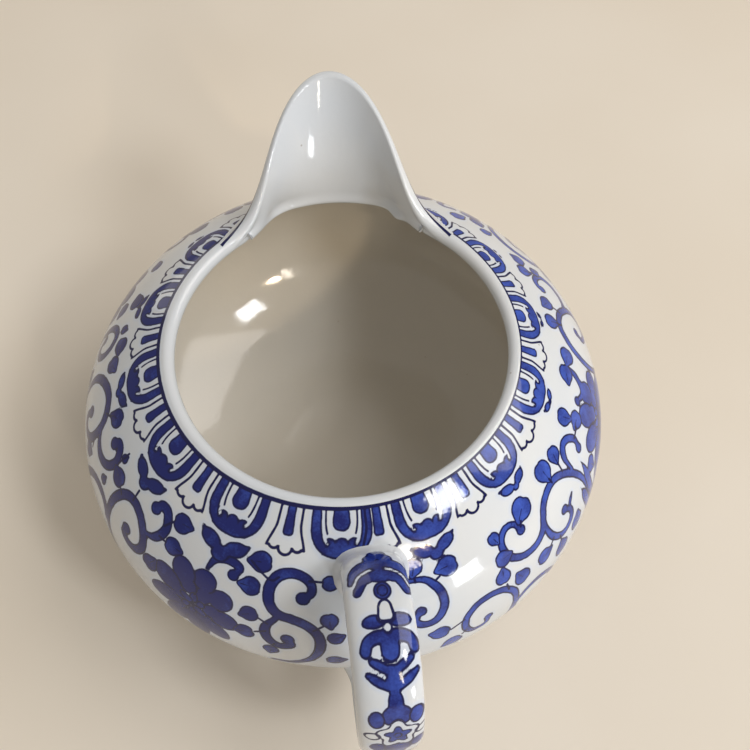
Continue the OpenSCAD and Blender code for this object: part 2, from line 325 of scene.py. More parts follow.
class Print:
    """A blue print at points of a surface, as signed distances in mm that are negative inside a shape.

    `across` and `down` are the points' places, and `scale` is the length in mm of one unit across. Washes lie
    in two layers, back and front, each with its own dark outline, and lines lie over both."""

    FAR = 5.0
    REACH = 2.6  # how far beyond a shape its distances are worked out

    def __init__(self, across, down, scale, period=None):
        self.across, self.down, self.scale, self.period = across, down, scale, period
        self.layers = {layer: np.full(across.shape, self.FAR) for layer in ("back", "front", "line")}

    def near(self, across, down, half_width, half_height):
        """Indices of the points near a place, with their offsets from it in mm."""
        d = self.across - across
        if self.period:
            d = (d + self.period / 2) % self.period - self.period / 2
        x, y = d * self.scale, self.down - down
        found = np.nonzero((np.abs(x) < half_width + self.REACH) & (np.abs(y) < half_height + self.REACH))[0]
        return found, x[found], y[found]

    def add(self, layer, found, distance):
        self.layers[layer][found] = np.minimum(self.layers[layer][found], distance)

    def clear(self, found, distance):
        """Leaves a shape white."""
        for field in self.layers.values():
            field[found] = np.maximum(field[found], -distance)

    def oval(self, across, down, half_width, half_height, turn=0.0, layer="back"):
        reach = max(half_width, half_height)
        found, x, y = self.near(across, down, reach, reach)
        x, y = turned(x, y, turn)
        self.add(layer, found, oval_distance(x, y, half_width, half_height))

    def leaf(self, across, down, size, turn, layer="front", slim=1.0):
        """A round leaf with a vein, drawn out to its stalk and nicked opposite. turn 0 has the stalk up."""
        found, x, y = self.near(across, down, size, size)
        x, y = turned(x, y, turn)
        angle, radius = np.arctan2(np.abs(x) / slim, -y), np.hypot(x / slim, y)
        stalk = 0.3 * np.exp(-((angle / 0.32) ** 2))
        nick = 0.1 * np.exp(-(((math.pi - angle) / 0.25) ** 2))
        outline = size * (0.82 + stalk - nick)
        self.add(layer, found, (radius - outline) * min(slim, 1))
        vein = np.maximum(np.abs(x) - 0.09, np.abs(y + 0.4 * size) - 0.4 * size)
        self.add("line", found, vein)

    def stroke(self, places, width, layer="back", taper=(1.0, 1.0), knob=0.0):
        """A band through given places, on a smooth curve. taper is the share of the width left at each
        end, and knob is the radius of the round end that the first place has."""
        places = np.array(places, float)
        path = smooth_path(places)
        middle = (path.max(0) + path.min(0)) / 2
        half = (path.max(0) - path.min(0)) / 2
        found, _, _ = self.near(*middle, half[0] * np.max(self.scale) + width, half[1] + width)
        d = self.across[found] - middle[0]
        if self.period:
            d = (d + self.period / 2) % self.period - self.period / 2
        scale = self.scale[found] if np.ndim(self.scale) else self.scale
        x, y = d[:, None] * np.reshape(scale, (-1, 1)), self.down[found][:, None]
        px = (path[:, 0] - middle[0]) * np.reshape(scale, (-1, 1))
        distance, share = path_distances(x, y, px, path[:, 1] + 0 * px)
        ends = taper[0] + (1 - taper[0]) * smoothstep(0, 0.3, share)
        ends = ends * (taper[1] + (1 - taper[1]) * smoothstep(0, 0.3, 1 - share))
        self.add(layer, found, (distance - width / 2 * ends).min(axis=1))
        if knob:
            self.oval(*places[0], knob, knob, layer=layer)


def path_distances(x, y, px, py):
    """Distances of points, a column, from a path's segments, a row, and how far along each is met."""
    ax, ay, bx, by = px[..., :-1], py[..., :-1], px[..., 1:], py[..., 1:]
    f = ((x - ax) * (bx - ax) + (y - ay) * (by - ay)) / np.maximum((bx - ax) ** 2 + (by - ay) ** 2, 1e-9)
    f = np.clip(f, 0, 1)
    steps = px.shape[-1] - 1
    return np.hypot(x - ax - f * (bx - ax), y - ay - f * (by - ay)), (np.arange(steps) + f) / steps


def turned(x, y, turn):
    """Offsets in a shape's own axes, when the shape is turned clockwise."""
    c, s = math.cos(math.radians(turn)), math.sin(math.radians(turn))
    return c * x + s * y, -s * x + c * y


def oval_distance(x, y, half_width, half_height):
    k = np.hypot(x / half_width, y / half_height)
    g = np.hypot(x / half_width**2, y / half_height**2)
    return np.where(k > 1e-6, k * (k - 1) / np.maximum(g, 1e-9), -min(half_width, half_height))


def box_distance(x, y, half_width, half_height, round_r):
    dx, dy = np.abs(x) - half_width + round_r, np.abs(y) - half_height + round_r
    return np.hypot(np.maximum(dx, 0), np.maximum(dy, 0)) + np.minimum(np.maximum(dx, dy), 0) - round_r


def smooth_path(places, steps=8):
    """A Catmull-Rom curve through places."""
    padded = np.concatenate([[2 * places[0] - places[1]], places, [2 * places[-1] - places[-2]]])
    t = np.linspace(0, 1, steps, endpoint=False)[:, None]
    parts = []
    for p0, p1, p2, p3 in zip(padded, padded[1:], padded[2:], padded[3:]):
        square, cube = 2 * p0 - 5 * p1 + 4 * p2 - p3, 3 * p1 - p0 - 3 * p2 + p3
        parts.append(0.5 * (2 * p1 + (p2 - p0) * t + square * t**2 + cube * t**3))
    return np.concatenate(parts + [places[-1:]])


# ---- The bowl's print: a collar of lappets round the lip over a frieze of scrolls --------------------

LAPPETS = 14
LAPPET_PITCH = 360 / LAPPETS
COLLAR_PHASE = 3.0  # bearing of the bell lappet nearest the handle
COLLAR_HEIGHT = 7.0  # height that the lappets' own measures refer to
COLLAR_R = 34.0  # radius at which their widths are true: they fan out below it
LIGHT_THREAD = smooth_path(np.array([(3.05, -2.0), (3.0, 1.6), (2.9, 3.0), (2.6, 4.2), (2.2, 4.9)]))
INNER_THREAD = smooth_path(np.array([(2.65, -2.0), (2.6, 1.2), (2.45, 2.6), (2.2, 3.5)]))


def rim_line(bearing):
    """Distance of the print's rim line below the lip: the print sits a little off the bowl's axis."""
    return 0.3 + 0.45 * np.cos(np.radians(bearing + 110))


def collar_foot(bearing):
    return 6.5 + 2.0 * np.cos(np.radians(bearing + 40))


def print_collar(ink, bearing, down):
    top = rim_line(bearing)
    height = collar_foot(bearing) - top
    v_all = (down - top) / height * COLLAR_HEIGHT
    for k in range(2 * LAPPETS):
        lappet = (COLLAR_PHASE + k * LAPPET_PITCH / 2 + 180) % 360 - 180
        lappet += 4.0 * math.exp(-(((lappet + 14.5) / 10) ** 2))  # the collar's join, by the handle
        found, _, _ = ink.near(lappet, 5, 6, 10)
        offset = (bearing[found] - lappet + 180) % 360 - 180
        x, v = math.radians(1) * COLLAR_R * offset, v_all[found]
        if k % 2:
            by_handle = -10 < lappet < 0
            print_tongue(ink, found, x, v, 0 if by_handle else (height[found] / COLLAR_HEIGHT) ** 2)
        else:
            print_bell(ink, found, x, v)
    everywhere = np.arange(len(down))
    ink.clear(everywhere, down - top)
    ink.add("line", everywhere, np.abs(down - top - 0.1) - 0.34)


def print_tongue(ink, found, x, v, bud_size):
    """A thick U with a cloud in its foot and a light thread along it, a tongue inside and a bud below."""
    outside = box_distance(x, v + 4, 4.95, 11.0, 4.4)
    band = np.abs(outside + 0.95) - 0.95
    lobes = np.minimum(np.hypot(x, v - 5.1) - 1.15, np.hypot(np.abs(x) - 1.8, v - 5.15) - 1.15)
    middle = np.maximum(np.abs(x) - 2.9, np.abs(v - 5.7) - 0.8)
    ink.add("back", found, np.minimum(band, np.minimum(lobes, middle)))
    column = np.abs(x)[:, None], v[:, None]
    ink.clear(found, path_distances(*column, *LIGHT_THREAD.T)[0].min(axis=1) - 0.19)
    ink.add("line", found, path_distances(*column, *INNER_THREAD.T)[0].min(axis=1) - 0.17)
    ink.add("front", found, box_distance(x, v + 2.0, 1.35 + 0.2 * smoothstep(0, 2.5, v), 5.2, 1.4))
    if np.any(bud_size):
        x, v = x / bud_size, (v - 7.2) / bud_size
        wings = oval_distance(*turned(np.abs(x) - 1.45, v - 1.0, -22), 1.45, 0.9)
        tips = oval_distance(*turned(np.abs(x) - 2.5, v - 0.45, -35), 0.65, 0.32)
        body_r = 0.8 * bud_size
        bud = np.minimum(np.minimum(wings, tips), np.hypot(x, v - 0.9 - body_r) - body_r)
        ink.add("front", found, np.maximum(bud, 0.25 - np.hypot(x, v - 0.85)) * bud_size)


def print_bell(ink, found, x, v):
    """A narrow outlined bell with a foot of three scallops, and a bar hanging inside it."""
    half_width = 1.9 + 0.9 * smoothstep(2.6, 6.4, v)
    scallops = np.minimum(np.hypot(x, v - 6.0) - 1.02, np.hypot(np.abs(x) - 1.75, v - 5.6) - 0.8)
    outline = np.minimum(np.maximum(np.abs(x) - half_width, v - 6.05), scallops)
    ink.add("line", found, np.abs(outline) - 0.21)
    ink.add("front", found, box_distance(x, v + 1.0, 0.78 + 0.12 * smoothstep(1, 4, v), 5.4, 0.6))


# Scrolls as (width, [places from the knob or tip on]), each place being (bearing, distance below the lip)
SCROLLS = [
    # right of the handle
    (1.7, [(9.5, 19.5), (8, 21), (9.5, 22.5), (12.5, 22.3), (14.6, 19.6), (14.2, 16.4), (11.5, 13.8),
           (7, 13.2)]),
    (1.6, [(23.7, 28.6), (23, 30.6), (20, 30.5), (18.4, 28), (18.8, 25.2), (21.2, 23.2), (24.4, 22.7),
           (27.6, 23.4), (30, 25.4), (30.8, 28.2), (30.2, 32), (28.5, 35.5), (25, 38)]),
    (1.6, [(36.6, 15.1), (35.6, 13.3), (33.2, 12.8), (31, 14.2), (30.8, 16.4), (32.2, 18.5), (35.2, 19.9),
           (38.6, 20), (41.4, 18.8), (43, 16.9), (45, 15), (48.5, 13.9), (52, 14.3), (55.3, 16.4),
           (57.6, 19.6), (58.5, 23.5), (58, 28), (56, 33), (52.5, 37)]),
    (1.0, [(50.6, 22), (51.2, 20.6), (53, 19.6)]),
    (1.6, [(49, 20.3), (50.6, 21.8), (50.4, 23.4), (48.1, 24.5), (45.4, 24), (43.2, 21.8), (42.5, 19.3),
           (43, 16.9)]),
    (1.6, [(62.3, 16.5), (63, 14.6), (61.3, 12.8), (59, 12.5), (57, 14), (56.8, 16.8)]),
    (1.5, [(30.2, 33), (31.5, 30.4), (34, 29), (37.5, 29), (41, 31), (42.6, 34), (42, 37.5), (39.5, 40)]),
    # round the flower to the right, and on towards the spout
    (1.5, [(72.6, 13.6), (75.6, 15), (78, 14), (79.6, 12.2), (80.2, 10)]),
    (1.5, [(80.5, 17.8), (78.4, 17), (77.8, 14.8), (79.6, 12.2)]),
    (1.6, [(93.8, 16.6), (92.6, 18.4), (94.5, 20.4), (98, 20.6), (100.4, 18), (99.6, 15), (97.6, 12.4),
           (94.6, 11), (91.6, 10.9), (88, 12.4), (85.8, 15), (85.2, 18.2), (86.4, 22), (89.5, 25.5),
           (94, 28)]),
    (1.5, [(104.9, 10.4), (106.2, 9.6), (108.6, 10.2), (109.8, 12.6), (108, 15), (105, 16), (102, 15.8),
           (99.6, 14.6)]),
    (1.5, [(120.5, 16.5), (122.5, 14.6), (125.5, 15.5), (126, 18.5), (123, 21), (118.5, 20.6),
           (115.6, 17.6), (116, 14.2), (119, 11.6), (123.5, 10.8), (128.5, 12.2), (131.5, 15.6), (132, 20),
           (129, 25)]),
    (1.4, [(141.5, 11.6), (143.6, 10.4), (145.6, 12), (145, 14.6), (141.6, 16.2), (137.5, 15.4),
           (134, 13.4)]),
    # left of the handle
    (2.0, [(-15.1, 15.2), (-13.2, 13.8), (-14.3, 11.9), (-17.6, 11.1), (-20.8, 11.9), (-22.5, 14.2),
           (-22.2, 17), (-20.2, 18.9), (-17, 19.5), (-13.9, 20.4), (-11.7, 22.4), (-11.2, 25.2),
           (-12.1, 28.2), (-14, 30.8), (-17.5, 33), (-21, 33.6)]),
    (2.0, [(-17.8, 24.3), (-17.2, 25.8), (-19.6, 26.7), (-21.9, 25), (-22.4, 22.4), (-20.2, 19.6)]),
    (1.7, [(-31, 14.4), (-30, 12.8), (-32.6, 12.2), (-35.6, 12.9), (-37, 15)]),
    (1.9, [(-54.6, 12.5), (-53.5, 11.2), (-51.2, 11.6), (-49.8, 14.1), (-51.4, 16.8), (-54, 17.8)]),
    (2.0, [(-59.3, 21.2), (-59.8, 22.5), (-57.8, 23.5), (-55.3, 23.1), (-53.7, 21.2), (-54.4, 18.6),
           (-57, 16.3), (-60.2, 15.3), (-63.2, 15.9), (-65.2, 17.9), (-66.2, 20.8), (-66, 25), (-64.4, 29),
           (-61, 32.6)]),
    (1.8, [(-66.4, 25.6), (-68.6, 23.2), (-71.6, 22.5), (-75, 23.2), (-78, 25.4), (-80, 28.6),
           (-80.4, 32)]),
    (1.9, [(-75.2, 13.4), (-74.4, 12.2), (-72.4, 12.8), (-71.3, 14.9), (-72.9, 17.3), (-76.2, 18.3),
           (-79.4, 17.6), (-82, 15.8)]),
    (1.9, [(-88.4, 19.2), (-89, 21.6), (-86.3, 22.6), (-83.4, 21.4), (-82.1, 18.8), (-82.2, 15.9),
           (-84.2, 13.7), (-88, 12.7), (-92, 13.7), (-95, 16), (-96.2, 19), (-95.4, 23), (-92.6, 27)]),
    (1.6, [(-106.4, 17.4), (-105, 19), (-102.4, 18.4), (-101.2, 16), (-102.4, 13.6), (-105.4, 12.6),
           (-108, 14), (-109, 17), (-108, 21), (-105, 25)]),
]

# Leaves as (bearing, distance below the lip, size, turn)
LEAVES = [
    (9.7, 11.2, 1.9, 200), (17.3, 13, 2.3, 265), (13, 26.4, 2.2, 290), (15.6, 31.4, 2.3, 240),
    (28.5, 20.8, 2.0, 10), (33, 24, 2.2, 330), (39.6, 24.3, 2.2, 80), (39.4, 12.2, 2.6, 230),
    (29.8, 17.3, 2.0, 90), (29.6, 13, 1.5, 160), (49.9, 11.1, 2.4, 180), (55.4, 11.3, 1.9, 200),
    (45.4, 27.9, 2.4, 0), (51.8, 27, 2.4, 20), (65.8, 10.7, 2.1, 160), (67.9, 14, 2.1, 270),
    (63, 22.4, 2.1, 160), (78.3, 10.2, 2.2, 250), (83.8, 10.8, 2.2, 280), (93.5, 8.5, 2.0, 180),
    (99.9, 9.4, 2.0, 330), (103.4, 22, 2.1, 20), (111.5, 8.4, 1.9, 200), (111.4, 12, 1.6, 160),
    (115.7, 9.6, 1.9, 60), (133.3, 11.2, 2.0, 300), (137.8, 8.2, 2.0, 200), (128.4, 9, 1.6, 190),
    (112.5, 18, 2.0, 120), (137, 20.5, 2.1, 140), (146.5, 17.6, 1.9, 20), (-25.4, 10.5, 2.3, 260),
    (-26.7, 15.1, 2.2, 265), (-26, 20.5, 2.0, 240), (-26.6, 25.1, 2.1, 250), (-21.2, 28.6, 1.8, 190),
    (-9.4, 12.2, 1.7, 90), (-9.4, 19, 1.9, 170), (-8.2, 23, 1.8, 60), (-8.4, 29.8, 2.0, 80),
    (-46.8, 11.2, 2.2, 80), (-46.6, 15.8, 2.1, 85), (-50.6, 22.6, 2.2, 30), (-67.8, 15.6, 2.2, 285),
    (-71.6, 20, 1.3, 20), (-69.8, 12.4, 1.1, 20), (-80.4, 11.2, 2.2, 230), (-81.8, 22.6, 2.1, 60),
    (-96.3, 11.8, 2.1, 60), (-101.2, 10.3, 2.1, 100), (-114, 14.4, 2.0, 120), (-114.8, 10.2, 2.1, 250),
    (-106.2, 10.6, 1.3, 20), (-128, 12, 1.8, 240), (-99, 22, 2.0, 340), (-110, 30, 2.1, 30),
    (-131.6, 30, 2.1, 120), (-173, 13, 2.1, 120), (-172, 33, 2.2, 60), (151, 11, 2.1, 250),
    (152.5, 22, 2.0, 110), (150, 27, 2.1, 30),
]

# Fine stalks from leaf to scroll
STALK_WIDTH = 0.42
STALKS = [
    [(9.3, 13), (9.4, 13.8)], [(15.2, 14), (13.8, 14.6)], [(15.2, 26.5), (18.2, 25.4)],
    [(17.6, 30), (18.6, 29)], [(28.9, 22.8), (29.2, 24.4)], [(41.8, 23.6), (43.4, 22.6)],
    [(37.6, 13.8), (36.9, 14.6)], [(49.9, 13), (50, 14)], [(54.6, 13), (54.2, 14.8)],
    [(66, 14.4), (63.2, 14.6)], [(45.4, 25.6), (45.3, 24)], [(-27.8, 10.8), (-22.8, 13), (-20.8, 12.2)],
    [(-24, 20.8), (-22, 21.6)], [(-24.6, 24.4), (-22.3, 23.4)], [(-20.8, 27), (-20.4, 26.4)],
    [(-11, 12), (-14, 12)], [(-10.6, 20.2), (-12.6, 21.4)], [(-49, 12), (-50.6, 13.8)],
    [(-48.8, 16), (-50.6, 16)], [(-65.8, 16.4), (-64.6, 17)], [(-69.8, 11), (-70.4, 14.2)],
    [(-82, 12.6), (-84, 13.8)], [(-61, 13), (-61, 15.4)], [(-80.5, 20.6), (-81.6, 18.6)],
    [(93.5, 10), (93.4, 11.2)], [(99, 10.6), (97.8, 12.6)], [(111.2, 10), (110, 12)],
]

# Stretches of the frieze that the transfer repeats round the far side, as (from, to, way, shift): a bearing b
# there is drawn again at shift + way * b
REPEATS = [(30, 66.5, -1, -105), (17, 31.5, 1, 120), (-24, -8, 1, 176)]

# Long pointed blades of grass, from the foot up
BLADES = [
    [(62.5, 33), (60, 26), (60.4, 17.6)], [(59.5, 33), (57.4, 27), (56.2, 21.6)],
    [(64, 34), (63.4, 29), (65.6, 24)],
]

FLOWERS = [(-38.5, 24.5), (75, 23), (-121, 23), (176, 25)]


def print_flower(ink, across, down):
    """A full blossom of three rings of petals, each petal over the one before it, and a seeded middle."""
    for count, ring_r, length, half_width, layer, start in (
        (9, 6.0, 2.9, 2.3, "back", 12), (7, 3.6, 2.2, 1.7, "back", 30), (6, 1.6, 1.3, 0.9, "front", 0)
    ):
        petals = []
        found, x, y = ink.near(across, down, 9, 10)
        for k in range(count):
            turn = start + k * 360 / count
            stretch = 1 + 0.22 * math.sin(3 * turn)  # not in degrees, so that the lengths come out uneven
            a = math.radians(turn)
            px, py = math.sin(a) * ring_r, -1.12 * math.cos(a) * ring_r
            petals.append(oval_distance(*turned(x - px, y - py, turn), half_width, length * stretch))
        ink.add(layer, found, np.min(petals, axis=0))
        for petal, below in zip(petals, petals[1:] + petals[:1]):
            ink.add("line", found, np.maximum(np.abs(petal) - 0.16, below))
    found, x, y = ink.near(across, down, 1, 1)
    ink.add("line", found, np.hypot(x, y) - 0.6)


# The running scroll under the belly, which stands on a ruled border
LOW_SCROLLS = 10
# The leaves of one scroll, as (bearing beyond its own, distance below the lip, size, turn)
LOW_LEAVES = [
    (18, 44.6, 2.1, 250), (30, 48.4, 1.9, 60), (4.5, 38.4, 2.2, 200), (29, 39.4, 2.1, 330),
    (6.6, 53, 1.0, 90), (26, 53, 1.0, 270),
]


def print_low_scroll(ink):
    pitch = 360 / LOW_SCROLLS
    for k in range(LOW_SCROLLS):
        b = 12 + k * pitch
        ink.stroke(
            [(b + 14, 44), (b + 11.5, 46), (b + 9, 43.5), (b + 11, 40), (b + 17, 38.6), (b + 23, 41),
             (b + 25, 46), (b + 21, 50), (b + 12, 51), (b + 2, 49.5), (b - 5, 46)],
            1.4, knob=1.0,
        )
        ink.stroke([(b + 3, 44.6), (b + 1, 42.6), (b - 2, 44), (b - 1, 47.6)], 1.3, knob=0.9)
        for across, down, size, turn in LOW_LEAVES:
            ink.leaf(b + across, down, size, turn)


BORDER_LINES = ((56.5, 0.35), (58.0, 0.2))  # distance below the lip and half width


def repeated(places):
    """Places as they are, and again for each stretch that holds them all, with the way each copy runs."""
    copies = [(places, 1)]
    for start, stop, way, shift in REPEATS:
        if all(start < across < stop for across, _ in places):
            copies.append(([(shift + way * across, down) for across, down in places], way))
    return copies


def print_bowl(ink, bearing, down):
    for width, places in SCROLLS:
        for copy, _ in repeated(places):
            ink.stroke(copy, width, knob=0.62 * width, taper=(0.75, 0.6))
    for across, low in FLOWERS:
        print_flower(ink, across, low)
    for across, low, size, turn in LEAVES:
        for copy, way in repeated([(across, low)]):
            ink.leaf(*copy[0], size, way * turn)
    for places in STALKS:
        for copy, _ in repeated(places):
            ink.stroke(copy, STALK_WIDTH, layer="line")
    for places in BLADES:
        for copy, _ in repeated(places):
            ink.stroke(copy, 2.2, layer="front", taper=(1.0, 0.05))
    print_low_scroll(ink)
    for low, half_width in BORDER_LINES:
        ink.add("line", np.arange(len(down)), np.abs(down - low) - half_width)
    print_collar(ink, bearing, down)


# ---- The bowl ----------------------------------------------------------------------------------------

BOWL_COLUMNS = 160
# Rows of the bowl's skin, from the middle of the floor up the inside, over the lip and down to the foot
INSIDE_ROWS, NOSE_ROWS, OUTSIDE_ROWS, UNDER_ROWS = 44, 8, 34, 8
ROW_STOPS = np.cumsum([0, INSIDE_ROWS, NOSE_ROWS, OUTSIDE_ROWS, UNDER_ROWS])
POLE_R = 1.0
FAR_ABOVE_LIP, FAR_BELOW_LIP = -50.0, 90.0  # distances that keep the inside and the base free of print


def bowl_azimuth(column):
    """Azimuth of a column in degrees, from -180 to 180, and its bearing."""
    bearing = column / BOWL_COLUMNS * 360
    azimuth = (HANDLE_AZIMUTH - bearing + 180) % 360 - 180
    return azimuth, bearing


def bowl_profile(column, row):
    """[radius, height] and the distance below the lip."""
    azimuth, _ = bowl_azimuth(column)
    cut = wall_cut(azimuth)
    inside, nose, outside, under = (
        np.clip((row - start) / (stop - start), 0, 1) for start, stop in zip(ROW_STOPS, ROW_STOPS[1:])
    )
    cut_q = np.interp(cut, outer_s[: len(inner_wall)], wall_q)
    q = cut_q + (INNER_LENGTH - cut_q) * (1 - inside)
    point = along(inner, inner_q, q)
    point[..., 0] = np.maximum(point[..., 0], POLE_R)
    end, normal = along(outer, outer_s, cut), unit(along(outer_normal, outer_s, cut))
    start_angle = np.arctan2(normal[..., 1], normal[..., 0])
    angle = start_angle + math.pi * (1 - nose)
    round_end = end - NOSE_R * normal + NOSE_R * np.stack([np.cos(angle), np.sin(angle)], -1)
    s = cut + (OUTER_LENGTH - cut) * outside
    foot = outer[-1]
    base = np.stack([foot[0] + (POLE_R - foot[0]) * under, foot[1] + 0 * under], -1)
    region = np.searchsorted(ROW_STOPS[1:-1], row, side="left")[..., None]
    places = [point, round_end, along(outer, outer_s, s)]
    profile = np.select([region == k for k in range(3)], places, base)
    distances = [FAR_ABOVE_LIP + 0 * row, -NOSE_R * math.pi * (1 - nose), s]
    below_lip = np.select([region[..., 0] == k for k in range(3)], distances, FAR_BELOW_LIP)
    return profile, below_lip


def bowl_surface(column, row):
    azimuth, _ = bowl_azimuth(column)
    return on_azimuth(bowl_profile(column, row)[0], azimuth)


CLEAR_UNDER_SPOUT = 1.6  # depth of the strip that the spout's root covers


def bowl_ink(column, row):
    profile, below_lip = bowl_profile(column, row)
    azimuth, bearing = bowl_azimuth(column)
    scale = np.radians(1) * profile[:, 0]
    ink = Print(bearing, below_lip, scale, period=360)
    print_bowl(ink, bearing, below_lip)
    under_spout = below_lip < CLEAR_UNDER_SPOUT * smoothstep(44, 36, np.abs(azimuth))
    for values in ink.layers.values():
        values[under_spout] = Print.FAR
    return ink


def bowl_fields(column, row):
    ink = bowl_ink(column, row)
    # inside marks where the bowl's inside takes its painted shade
    inside = smoothstep(ROW_STOPS[1] + 1, ROW_STOPS[1] - 6, row)
    return dict(ink.layers, inside=inside)


BAKE_GAP = 0.004  # left free round each part of a baked map
CELL = 2.0  # about the side of an unsplit cell
SPLIT_MARGIN = 0.2
FINE_ONLY_FOR_LINES = 0.3  # cells of this size and less are split for lines alone


def print_needs_split(ink_at):
    """Splits the cells that a print's edge may run through."""

    def needs_split(column, row, size):
        layers = ink_at(column, row).layers
        nearest = layers["line"]
        if size > FINE_ONLY_FOR_LINES:
            nearest = np.min([np.abs(layers["back"]), np.abs(layers["front"]), nearest], axis=0)
        return nearest < 0.71 * CELL * size + SPLIT_MARGIN * size

    return needs_split


def bowl_bake(column, row, face_column, face_row):
    """Lays the printed outside in two half rings, with the inside and the base in a strip above them."""
    gap = BAKE_GAP
    turn, half = column / BOWL_COLUMNS, (face_column > BOWL_COLUMNS / 2).astype(float)
    outside = (row - ROW_STOPS[1]) / (ROW_STOPS[3] - ROW_STOPS[1])
    printed = (face_row > ROW_STOPS[1]) & (face_row < ROW_STOPS[3])
    inside = row / ROW_STOPS[1]
    base = (row - ROW_STOPS[3]) / UNDER_ROWS
    u = np.where(printed, 2 * turn - half, turn)
    v = np.where(printed, 0.42 * half + (0.42 - gap) * outside, 0.84 + (0.13 - gap) * inside)
    v = np.where(face_row > ROW_STOPS[3], 0.97 + (0.03 - gap) * base, v)
    return np.stack([gap + (1 - 2 * gap) * u, v], -1)


bowl = skin(
    "bowl_glazed", bowl_surface, BOWL_COLUMNS, int(ROW_STOPS[-1]), wrap=True, levels=3,
    needs_split=print_needs_split(bowl_ink), fields=bowl_fields, close="caps", bake=bowl_bake,
)
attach(bowl, "root")
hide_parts("body_shell")

# ---- The spout: one skin from the shoulder up its outside, over the edge and down the trough to the sill 

SPOUT_END = 44.0  # azimuth either side of the front at which the spout's edge has become the lip
SPOUT_COLUMNS = 88  # one a degree, as on the sill, so that the two skins meet point for point
WALL_ROWS, EDGE_ROWS, TROUGH_ROWS = 12, 6, 12
SPOUT_STOPS = np.cumsum([0, WALL_ROWS, EDGE_ROWS, TROUGH_ROWS])
LIP_ANGLE = math.degrees(math.atan2(outer_normal[0, 1], outer_normal[0, 0]))
LIP_LEAN, TIP_LEAN = LIP_ANGLE + 90, 52.0
LIP_CENTRE = outer[0] - NOSE_R * outer_normal[0]
EDGE_TIP = np.array([TIP_REACH - TIP_EDGE_R, TIP_Z - TIP_EDGE_R])
ROOT_SPREAD = 8.8
TROUGH_EASE = 0.6  # rounds the corner where the trough's foot is held back under its edge
GLAZE_LIFT = 0.03  # keeps two skins apart where one runs on over the other


def direction(degrees):
    a = np.radians(degrees)
    return np.stack([np.cos(a), np.sin(a)], -1)


def rise(azimuth):
    return np.cos(np.radians(90 * azimuth / SPOUT_HALF_ANGLE)) ** 2


def sill_share(azimuth):
    """1 where the throat is cut, falling to 0 where the sill has run into the lip."""
    return smoothstep(*SILL_SPAN, np.abs(azimuth))


def sill_point(azimuth):
    """The sill's outer edge, where the trough ends."""
    return shoulder_point(mouth_radius(azimuth))


def spout_section(azimuth):
    """The points and directions that the spout's section at an azimuth hangs on."""
    up = rise(azimuth)[..., None]
    centre = LIP_CENTRE + (EDGE_TIP - LIP_CENTRE) * np.concatenate([up**2.4, up**1.25], -1)
    edge_r = NOSE_R + GLAZE_LIFT + (TIP_EDGE_R - NOSE_R) * up
    lean = LIP_LEAN + (TIP_LEAN - LIP_LEAN) * up[..., 0] ** 0.5
    outward = direction(lean - 90)
    root_s = shoulder_s(LIP_R + 0.25 + ROOT_SPREAD * up[..., 0] ** 0.7)
    foot = along(outer, outer_s, root_s)
    to_lip = -unit(along(outer_tangent, outer_s, root_s))
    inner_edge = centre - edge_r * outward
    share = sill_share(azimuth)[..., None]
    trough_foot = share * sill_point(azimuth) + (1 - share) * inner_edge
    # A foot further out than the edge would make the trough undercut it
    beyond = trough_foot[..., 0] - inner_edge[..., 0]
    trough_foot[..., 0] -= eased_above_zero(beyond, TROUGH_EASE * share[..., 0])
    return centre, edge_r, lean, foot, to_lip, centre + edge_r * outward, inner_edge, trough_foot


def spout_azimuth(column):
    return SPOUT_END * (2 * column / SPOUT_COLUMNS - 1)


def spout_profile(column, row):
    """[radius, height] and the distance below the edge, on the outside and over the edge."""
    section = spout_section(spout_azimuth(column))
    centre, edge_r, lean, foot, to_lip, outer_edge, inner_edge, trough_foot = section
    wall, edge, trough = (
        np.clip((row - start) / (stop - start), 0, 1) for start, stop in zip(SPOUT_STOPS, SPOUT_STOPS[1:])
    )
    tip_ward = direction(lean)
    reach = np.linalg.norm(outer_edge - foot, axis=-1, keepdims=True)
    fall = np.linalg.norm(inner_edge - trough_foot, axis=-1, keepdims=True)
    handles = foot + 0.22 * reach * to_lip, outer_edge - 0.6 * reach * tip_ward
    wall_curve = bezier([foot, *handles, outer_edge], wall)
    edge_curve = centre + edge_r * direction(lean - 90 + 180 * edge)
    trough_curve = bezier([inner_edge, inner_edge - 0.55 * fall * tip_ward, trough_foot], trough)
    region = np.searchsorted(SPOUT_STOPS[1:-1], row, side="left")[..., None]
    profile = np.select([region == 0, region == 1], [wall_curve, edge_curve], trough_curve)
    on_wall, over_edge = np.linalg.norm(profile - outer_edge, axis=-1), -math.pi * edge_r[..., 0] * edge
    below_edge = np.where(row <= WALL_ROWS, on_wall, over_edge)
    return profile, below_edge


def spout_surface(column, row):
    return on_azimuth(spout_profile(column, row)[0], spout_azimuth(column))


# The spray on the spout's right half, as (across, distance below the edge), and for leaves (..., size, turn)
SPRAY_SCROLL = [(4.6, 12.6), (5.8, 14), (7.8, 12.6), (7, 9.8), (3.8, 9.4), (1.4, 12.2), (0.4, 16)]
SPRAY_STALK = [(3.2, 5.6), (2.6, 7.6), (0.4, 10)]
SPRAY_LEAVES = [(3.4, 5.2, 1.7, 20), (9.6, 9.2, 1.8, 60), (10.4, 13.6, 1.8, 110), (3.2, 15.6, 1.5, 130)]


